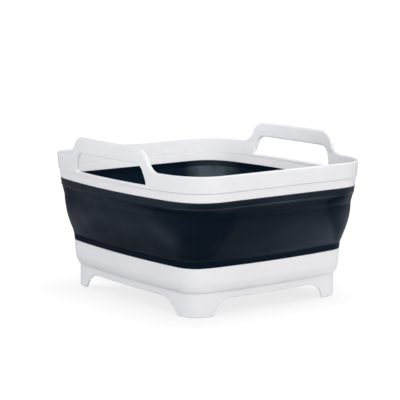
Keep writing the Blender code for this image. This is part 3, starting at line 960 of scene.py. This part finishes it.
def blended(tree, share, first, second):
    """A colour a share of the way from one to another."""
    made = node(tree, "ShaderNodeMix", data_type="RGBA")
    for at, value in ((0, share), (6, first), (7, second)):
        if isinstance(value, bpy.types.NodeSocket):
            tree.links.new(value, made.inputs[at])
        else:
            made.inputs[at].default_value = value
    return made.outputs[2]


def gloss_patches(tree, place):
    """Where a moulded surface came out of its mould a little shinier or duller, between 0 and 1."""
    return span(tree, noise(tree, place, scale=35.0, detail=5.0, roughness=0.6, distortion=0.3), *cloudy)


def moulded_skin():
    """The skin a mould leaves: a fine grain, a slow unevenness, and flow tones."""
    group, given, made = new_group(
        "moulded_skin",
        [("Grain Size", "NodeSocketFloat", 900.0), ("Grain Part", "NodeSocketFloat", 0.5),
         ("Waviness Size", "NodeSocketFloat", 22.0)],
        [("Height", "NodeSocketFloat"), ("Tone", "NodeSocketFloat"), ("Gloss Patches", "NodeSocketFloat")])
    place = node(group, "ShaderNodeTexCoord").outputs["Object"]
    grain = noise(group, place, given.outputs["Grain Size"], detail=2.0, roughness=0.6)
    wave = noise(group, place, given.outputs["Waviness Size"], detail=2.0, roughness=0.45, distortion=0.4)
    part = given.outputs["Grain Part"]
    height = maths(group, "ADD", maths(group, "MULTIPLY", grain, part),
                   maths(group, "MULTIPLY", wave, maths(group, "SUBTRACT", 1.0, part)))
    flow = noise(group, place, scale=9.0, detail=4.0, roughness=0.55, distortion=0.6)
    group.links.new(height, made.inputs["Height"])
    group.links.new(span(group, flow, *cloudy), made.inputs["Tone"])
    group.links.new(gloss_patches(group, place), made.inputs["Gloss Patches"])
    return group


def use_marks():
    """Signs of use: rubbed outer edges, dust in hollows, and fine scuffs."""
    group, given, made = new_group(
        "use_marks", [("Scuff Size", "NodeSocketFloat", 60.0)],
        [("Rubbed Edge", "NodeSocketFloat"), ("Dust", "NodeSocketFloat"), ("Scuffs", "NodeSocketFloat")])
    place = node(group, "ShaderNodeTexCoord").outputs["Object"]
    patches = span(group, noise(group, place, scale=55.0, detail=4.0, roughness=0.6), *worn_patches)
    edge = node(group, "ShaderNodeAttribute", attribute_name="outer_edge").outputs["Fac"]
    hollow = node(group, "ShaderNodeAttribute", attribute_name="hollow").outputs["Fac"]
    worn = (("Rubbed Edge", edge, edge_patchiness), ("Dust", hollow, dust_patchiness))
    for name, mask, patchiness in worn:
        patchy = maths(group, "MULTIPLY_ADD", patches, patchiness, 1 - patchiness)
        group.links.new(maths(group, "MULTIPLY", mask, patchy), made.inputs[name])
    streaks = []
    for turn, stretch in scuff_ways:
        turned = node(group, "ShaderNodeMapping", {"Vector": place, "Rotation": (turn, 0.4, turn * 1.7),
                                                   "Scale": (1.0, stretch, stretch * 0.8)}).outputs[0]
        fine = noise(group, turned, given.outputs["Scuff Size"], detail=2.0)
        near = maths(group, "ABSOLUTE", maths(group, "SUBTRACT", fine, 0.5))
        streaks.append(span(group, near, 0.0, scuff_half_width, 1.0, 0.0))
    either = maths(group, "MAXIMUM", streaks[0], streaks[1])
    where = span(group, noise(group, place, scale=18.0, detail=2.0), *scuffed_places)
    group.links.new(maths(group, "MULTIPLY", either, where), made.inputs["Scuffs"])
    return group


def new_material(name):
    """A material, its nodes and its shader."""
    material = bpy.data.materials.new(name)
    material.use_nodes = True
    tree = material.node_tree
    return material, tree, tree.nodes["Principled BSDF"]


def placed(tree, group, **values):
    """The outputs of a group that is placed in a material with its own values."""
    made = node(tree, "ShaderNodeGroup", node_tree=group)
    for name, value in values.items():
        made.inputs[name.replace("_", " ")].default_value = value
    return made.outputs


def stained_or_shaded(tree, colour, mask, strength, stain_or_shade):
    """A colour with some of another over it, where a mask says: a stain, or painted shade."""
    return blended(tree, maths(tree, "MULTIPLY", mask, strength), colour, stain_or_shade)


def raised(tree, value, mask, amount):
    """A value with an amount added where a mask says."""
    return maths(tree, "MULTIPLY_ADD", mask, amount, value)


def add_relief(tree, shader, height, strength, depth):
    """Gives a surface the fine relief of its skin."""
    bump = node(tree, "ShaderNodeBump", {"Height": height, "Strength": strength, "Distance": depth})
    tree.links.new(bump.outputs[0], shader.inputs["Normal"])


def white_plastic(skin, marks):
    """Satin moulded plastic, cool white, a little greyer in its hollows and shinier on rubbed edges."""
    material, tree, shader = new_material("satin_white_plastic")
    surface = placed(tree, skin, Grain_Size=1500.0, Grain_Part=0.35, Waviness_Size=30.0)
    use = placed(tree, marks, Scuff_Size=70.0)
    colour = blended(tree, surface["Tone"], plastic_deep, plastic_pale)
    colour = stained_or_shaded(tree, colour, use["Dust"], strength=0.22, stain_or_shade=plastic_dust)
    colour = stained_or_shaded(tree, colour, use["Scuffs"], strength=0.10, stain_or_shade=plastic_scuff)
    tree.links.new(colour, shader.inputs["Base Color"])
    rough = span(tree, surface["Gloss Patches"], 0.0, 1.0, *plastic_roughness)
    rough = raised(tree, rough, use["Scuffs"], amount=0.12)
    rough = raised(tree, rough, use["Rubbed Edge"], amount=-0.08)
    tree.links.new(rough, shader.inputs["Roughness"])
    add_relief(tree, shader, surface["Height"], strength=0.12, depth=0.3 * mm)
    shader.inputs["IOR"].default_value = 1.49
    shader.inputs["Subsurface Weight"].default_value = 0.08
    shader.inputs["Subsurface Radius"].default_value = (1.0, 1.0, 1.0)
    shader.inputs["Subsurface Scale"].default_value = 3.0 * mm
    return material


def dark_rubber(skin, marks):
    """Satin near-black rubber with a navy cast, greyer where it is rubbed or dusty, with painted shade and
    sheen where the wall is marked.
    """
    material, tree, shader = new_material("satin_dark_rubber")
    surface = placed(tree, skin, Grain_Size=2400.0, Grain_Part=0.3, Waviness_Size=26.0)
    use = placed(tree, marks, Scuff_Size=90.0)
    painted_shade_and_sheen = node(tree, "ShaderNodeAttribute", attribute_name="painted_shade_and_sheen").outputs["Fac"]
    colour = blended(tree, surface["Tone"], rubber_deep, rubber_pale)
    colour = stained_or_shaded(tree, colour, use["Rubbed Edge"], strength=0.5, stain_or_shade=rubber_rubbed)
    colour = stained_or_shaded(tree, colour, use["Dust"], strength=0.10, stain_or_shade=rubber_dust)
    colour = stained_or_shaded(tree, colour, use["Scuffs"], strength=0.10, stain_or_shade=rubber_scuff)
    # Painted shade: darker where the wall is marked for it
    colour = stained_or_shaded(tree, colour, painted_shade_and_sheen, strength=0.6, stain_or_shade=rubber_painted_shade)
    tree.links.new(colour, shader.inputs["Base Color"])
    place = node(tree, "ShaderNodeTexCoord").outputs["Object"]
    uneven = span(tree, gloss_patches(tree, place), 0.0, 1.0, *sheen_unevenness)
    # Painted sheen: the specular level follows the same marks
    sheen = maths(tree, "MULTIPLY", span(tree, painted_shade_and_sheen, *painted_shade_span, *painted_sheen_span), uneven)
    tree.links.new(sheen, shader.inputs["Specular IOR Level"])
    rough = span(tree, surface["Gloss Patches"], 0.0, 1.0, *rubber_roughness)
    rough = raised(tree, rough, use["Scuffs"], amount=0.10)
    tree.links.new(rough, shader.inputs["Roughness"])
    add_relief(tree, shader, surface["Height"], strength=0.18, depth=0.4 * mm)
    shader.inputs["IOR"].default_value = 1.45
    shader.inputs["Specular Tint"].default_value = rubber_sheen_tint
    return material


# Studio

# Painted shadow round the basin in the floor's glow: its middle, half its core's width and length, how far
# it fades
shadow_middle = (-0.010, -0.012, 0)
shadow_core = (0.095, 0.107, 0)
shadow_fade = 0.14
shadow_glow = 0.785

# Painted bright places on the floor, only seen mirrored in the basin: where they start and end, how bright
right_pool_middle, right_pool_reach, right_pool_part = (0.30, -0.10, 0), (0.16, 0.40), 0.62
left_spot_middle, left_spot_reach, left_spot_part = (-0.18, 0.02, 0), (0.02, 0.08), 0.22
left_band_way = (0.8, -0.6)
left_band_start, left_band_part = (-0.18, -0.28), 0.34
left_band_end, left_band_rest = (-0.30, -0.50), 0.40
floor_least = 0.05

camera_place = (-1.1776, -1.5696, 0.4250)
camera_aim = (0, 0, 0.090)
camera_lens = 143.2
camera_film = 36
camera_shift = (-0.0126, 0.0464)
middle_of_wall = (0, 0, 0.12)
cool_white = (0.88, 0.95, 1.0)
surround_seen, surround_light, surround_mirrored = 1.15, 0.40, 0.06


def floor_mirrored(tree, place):
    """The floor as the basin mirrors it, painted with light: a pool at the right, a band and a spot at the
    left.
    """
    right = vector_maths(tree, "DISTANCE", place, right_pool_middle)
    right_pool = maths(tree, "POWER", span(tree, right, *right_pool_reach, 1.0, 0.0), 2.0)
    axes = node(tree, "ShaderNodeSeparateXYZ", {"Vector": place}).outputs
    way_x, way_y = left_band_way
    aside = maths(tree, "MULTIPLY_ADD", axes["X"], way_x, maths(tree, "MULTIPLY", axes["Y"], way_y))
    left_band = maths(tree, "MULTIPLY", span(tree, aside, *left_band_start, 0.0, left_band_part),
                      span(tree, aside, *left_band_end, 1.0, left_band_rest))
    left = vector_maths(tree, "DISTANCE", place, left_spot_middle)
    left_spot = span(tree, left, *left_spot_reach, left_spot_part, 0.0)
    left_pool = maths(tree, "ADD", left_band, left_spot)
    bright = maths(tree, "MULTIPLY_ADD", right_pool, right_pool_part, left_pool)
    return blended(tree, maths(tree, "ADD", bright, floor_least), floor_dim, floor_bright)


def floor_glow(tree, place):
    """How white the floor glows: all over, and less in a painted shadow round the basin."""
    beside = vector_maths(tree, "ABSOLUTE", vector_maths(tree, "SUBTRACT", place, shadow_middle))
    beside = vector_maths(tree, "MAXIMUM", vector_maths(tree, "SUBTRACT", beside, shadow_core))
    return span(tree, vector_maths(tree, "LENGTH", beside), 0.0, shadow_fade, shadow_glow, 1.0)


def make_floor():
    """A plain pale floor, with a painted shadow round the basin and painted bright places that only the
    basin mirrors.
    """
    bpy.ops.mesh.primitive_circle_add(vertices=96, radius=6, fill_type="NGON")
    floor = bpy.context.object
    floor.name = "studio_floor"
    material, tree, shader = new_material("pale_floor")
    place = node(tree, "ShaderNodeTexCoord").outputs["Object"]
    path = node(tree, "ShaderNodeLightPath").outputs
    tone = blended(tree, noise(tree, place, scale=3.0), floor_deep, floor_pale)
    tone = blended(tree, path["Is Glossy Ray"], tone, floor_mirrored(tree, place))
    tone = blended(tree, path["Is Camera Ray"], tone, floor_seen)
    tree.links.new(tone, shader.inputs["Base Color"])
    glow = maths(tree, "MULTIPLY", path["Is Camera Ray"], floor_glow(tree, place))
    tree.links.new(glow, shader.inputs["Emission Strength"])
    shader.inputs["Emission Color"].default_value = (1, 1, 1, 1)
    shader.inputs["Roughness"].default_value = 0.9
    shader.inputs["Specular IOR Level"].default_value = 0.0
    floor.data.materials.append(material)


def add_light(name, place, size, power, aim=middle_of_wall, colour=(1, 1, 1), spread=180,
              lights_surfaces=True, mirrored=True):
    """A softbox: some only light the surfaces, and some are only seen mirrored in them."""
    data = bpy.data.lights.new(name, "AREA")
    data.shape = "RECTANGLE"
    data.size, data.size_y = size
    data.energy = power
    data.color = colour
    data.spread = radians(spread)
    light = bpy.data.objects.new(name, data)
    light.location = place
    light.rotation_euler = (Vector(aim) - Vector(place)).to_track_quat("-Z", "Y").to_euler()
    light.visible_camera = False
    light.visible_diffuse = lights_surfaces
    light.visible_glossy = mirrored
    bpy.context.scene.collection.objects.link(light)


def make_surround():
    """A white surround: bright to the camera, dimmer as light, and nearly dark as the basin mirrors it."""
    world = bpy.data.worlds.new("white_studio")
    bpy.context.scene.world = world
    world.use_nodes = True
    tree = world.node_tree
    path = node(tree, "ShaderNodeLightPath").outputs
    strength = span(tree, path["Is Camera Ray"], 0.0, 1.0, surround_light, surround_seen)
    mirrored = span(tree, path["Is Glossy Ray"], 0.0, 1.0, 1.0, surround_mirrored)
    strength = maths(tree, "MULTIPLY", strength, mirrored)
    background = tree.nodes["Background"]
    background.inputs["Color"].default_value = (1, 1, 1, 1)
    tree.links.new(strength, background.inputs["Strength"])
    bpy.context.scene.view_settings.view_transform = "Standard"


def make_lights():
    """Soft light from above and both sides, and strips of light for the rubber to mirror."""
    add_light("key_softbox", place=(-0.90, -1.25, 1.40), size=(1.2, 1.2), power=20,
              colour=(0.994, 0.998, 1.0), mirrored=False)
    add_light("gleam_strip", place=(-0.85, -0.85, 1.05), size=(4.2, 0.6), power=36,
              colour=(1.0, 0.96, 0.90), lights_surfaces=False)
    add_light("top_softbox", place=(0.75, -0.10, 1.45), size=(1.2, 1.2), power=10)
    add_light("ridge_gleam", place=(1.05, -1.05, 0.95), size=(0.7, 0.4), power=6,
              colour=cool_white, lights_surfaces=False)
    add_light("left_softbox", place=(-1.25, 1.55, 0.5), size=(1.6, 1.0), power=10.5,
              colour=(0.93, 0.94, 1.0), mirrored=False)
    add_light("left_gleam", place=(-1.30, 1.60, 0.75), size=(2.6, 1.8), power=6.5,
              colour=(0.72, 0.86, 1.0), lights_surfaces=False)
    add_light("right_softbox", place=(1.1, -1.6, 0.35), size=(1.0, 0.7), power=3.0,
              colour=(1.0, 0.955, 0.86), mirrored=False)
    add_light("side_gleam", place=(1.8, 0.1, 0.35), size=(1.4, 0.7), power=7,
              colour=cool_white, lights_surfaces=False)
    add_light("foot_card", place=(-0.055, 0.055, 0.012), size=(0.03, 0.012), power=0.010,
              aim=(-0.09, 0.13, 0.012), spread=45, mirrored=False)
    add_light("inner_card", place=(-0.06, -0.08, 0.36), size=(0.22, 0.10), power=0.06,
              aim=(0.10, 0.12, 0.13), spread=70, mirrored=False)


def make_camera():
    """The photograph's view: from the front left, a little above the rim."""
    data = bpy.data.cameras.new("camera")
    data.sensor_width = camera_film
    data.lens = camera_lens
    data.shift_x, data.shift_y = camera_shift
    camera = bpy.data.objects.new("camera", data)
    camera.location = camera_place
    aim = Vector(camera_aim) - camera.location
    camera.rotation_euler = aim.to_track_quat("-Z", "Y").to_euler()
    bpy.context.scene.collection.objects.link(camera)
    bpy.context.scene.camera = camera


skin, marks = moulded_skin(), use_marks()
plastic, rubber = white_plastic(skin, marks), dark_rubber(skin, marks)
make_base_tray(plastic)
make_rubber_wall(rubber)
make_rim_collar(plastic)
make_rim_frame(plastic)
make_drain_plug(rubber)
make_pull_tab(rubber)
make_floor()
make_surround()
make_lights()
make_camera()
